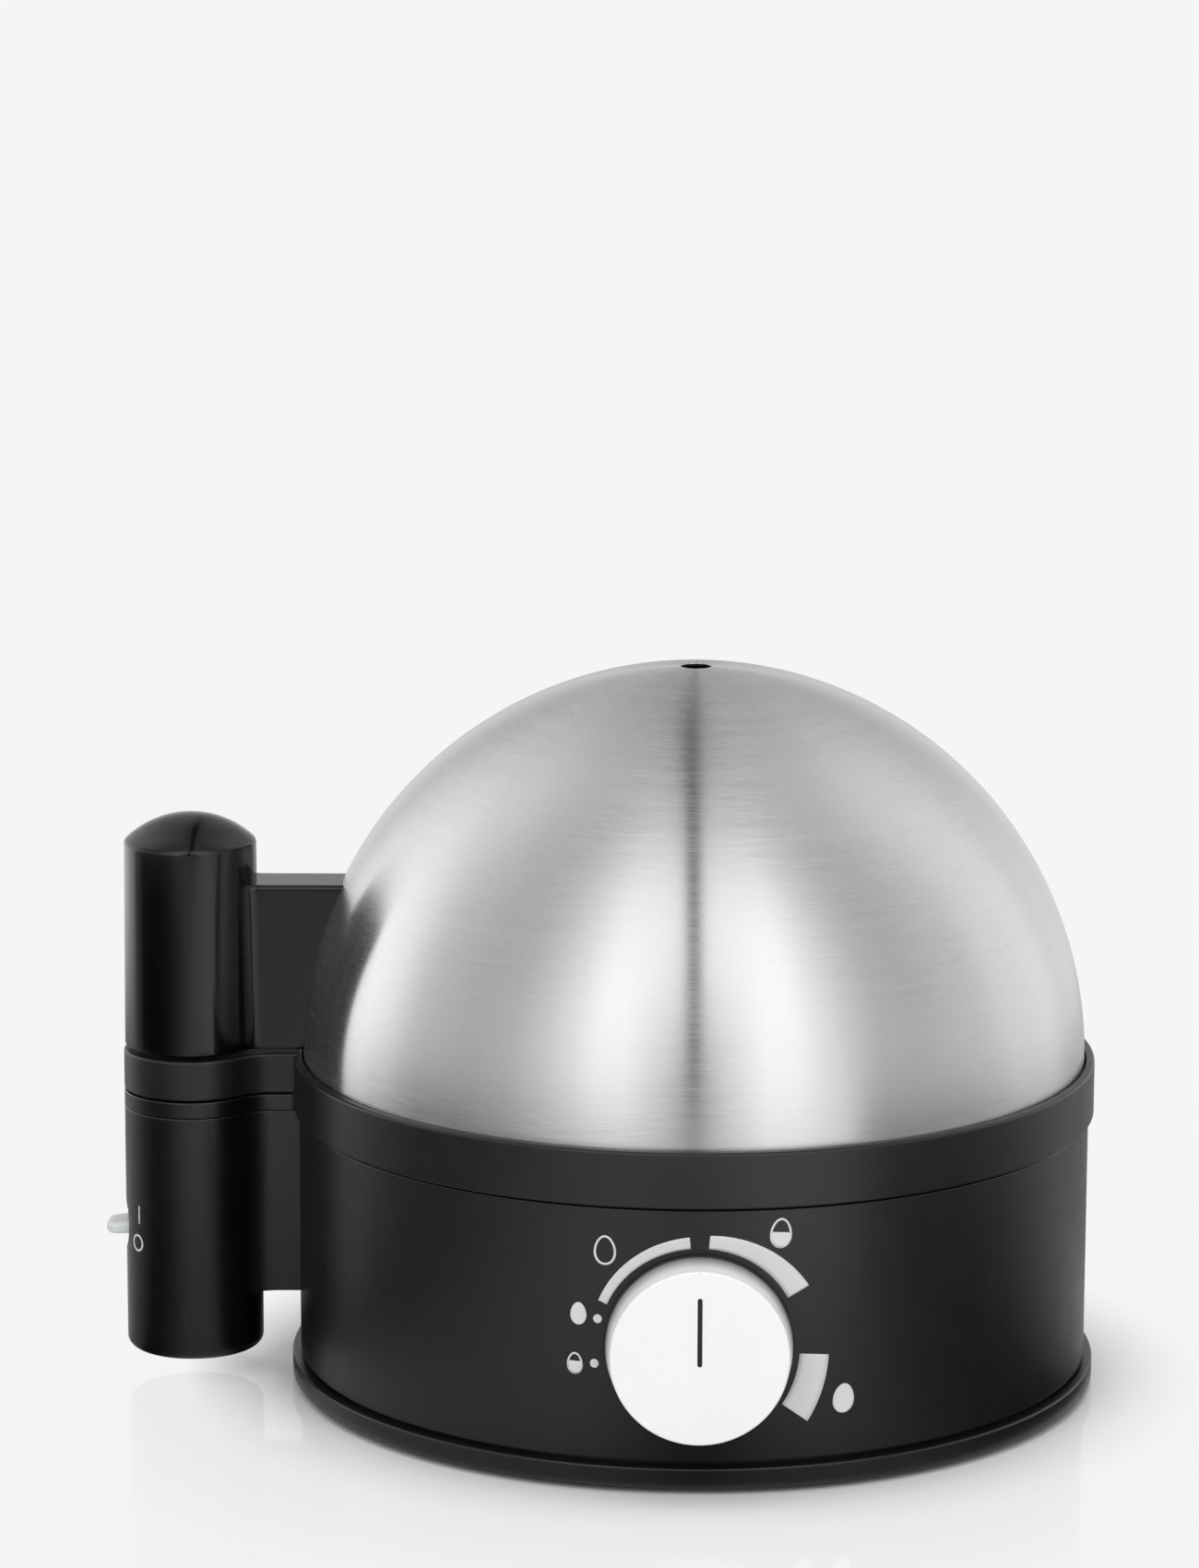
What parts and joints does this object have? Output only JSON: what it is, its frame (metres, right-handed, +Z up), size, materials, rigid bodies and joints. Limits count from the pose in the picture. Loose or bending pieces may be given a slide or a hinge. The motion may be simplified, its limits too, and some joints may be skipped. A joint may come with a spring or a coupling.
{
  "type": "electric egg cooker",
  "caption": "Round electric egg cooker: black base with knob and side handle, lift-off egg carrier, and a half-round brushed steel lid with its own grip.",
  "frame": {"origin": "middle of the footprint, from the rocker's tip to the base's rim and from the knob's face to the gland, on the table plane", "axes": "+Z up from the table, -Y towards the knob, -X towards the handles"},
  "size_m": [0.2332, 0.1974, 0.1695],
  "materials": {
    "black_plastic": "fine matte grain",
    "gloss_black": "polished",
    "white_plastic": "satin",
    "pointer_black": "matte",
    "clear_grey": "translucent, satin",
    "dome_steel": "brushed round the dome",
    "bowl_steel": "brushed",
    "screw_steel": "zinc plated",
    "element_sheath": "heat-tinted",
    "aluminium": "as cast",
    "brass": "turned",
    "silicone": "matte",
    "rubber": "matte",
    "dark_plastic": "matte",
    "capacitor_yellow": "satin",
    "board_green": "lacquered",
    "lamp_glass": "clear"
  },
  "bodies": {
    "base": {"base_plate": "black_plastic", "rubber_feet": "rubber", "base_housing": "black_plastic", "bowl_seat": "black_plastic", "base_screws": "screw_steel", "switch_handle": "black_plastic", "handle_screws": "screw_steel", "handle_cover": "black_plastic", "switch_body": "dark_plastic", "indicator_lamp": "lamp_glass", "heating_bowl": "bowl_steel", "bowl_seal": "silicone", "heat_spreader": "aluminium", "heating_element": "element_sheath", "bowl_bracket": "screw_steel", "bracket_nut": "screw_steel", "thermostat": "dark_plastic", "thermal_fuse": "screw_steel", "timer_unit": "dark_plastic", "timer_nut": "brass", "control_board": "board_green", "power_relay": "dark_plastic", "mains_capacitor": "capacitor_yellow", "signal_buzzer": "dark_plastic", "terminal_block": "white_plastic", "cord_gland": "rubber", "cord_clamp": "dark_plastic", "clamp_screws": "screw_steel"},
    "rocker": {"switch_rocker": "clear_grey"},
    "knob": {"control_knob": "white_plastic", "knob_pointer": "pointer_black", "timer_spindle": "brass"},
    "carrier": {"carrier_collar": "black_plastic", "egg_tray": "black_plastic"},
    "lid": {"lid_dome": "dome_steel", "lid_handle": "gloss_black", "lid_screws": "screw_steel"}
  },
  "joints": [
    {"name": "carrier_lift", "type": "slide", "parent": "base", "child": "carrier", "axis": [0, 0, 1], "range_m": [0, 0.08]},
    {"name": "lid_lift", "type": "slide", "parent": "carrier", "child": "lid", "axis": [0, 0, 1], "range_m": [0, 0.12]},
    {"name": "knob_turn", "type": "hinge", "parent": "base", "child": "knob", "pos_m": [0.02189, -0.08983, 0.0338], "axis": [0, 1, 0], "range_deg": [-103, 127]},
    {"name": "rocker_tip", "type": "hinge", "parent": "base", "child": "rocker", "pos_m": [-0.10411, 0.00347, 0.0357], "axis": [0, 1, 0], "range_deg": [0, 16]}
  ]
}
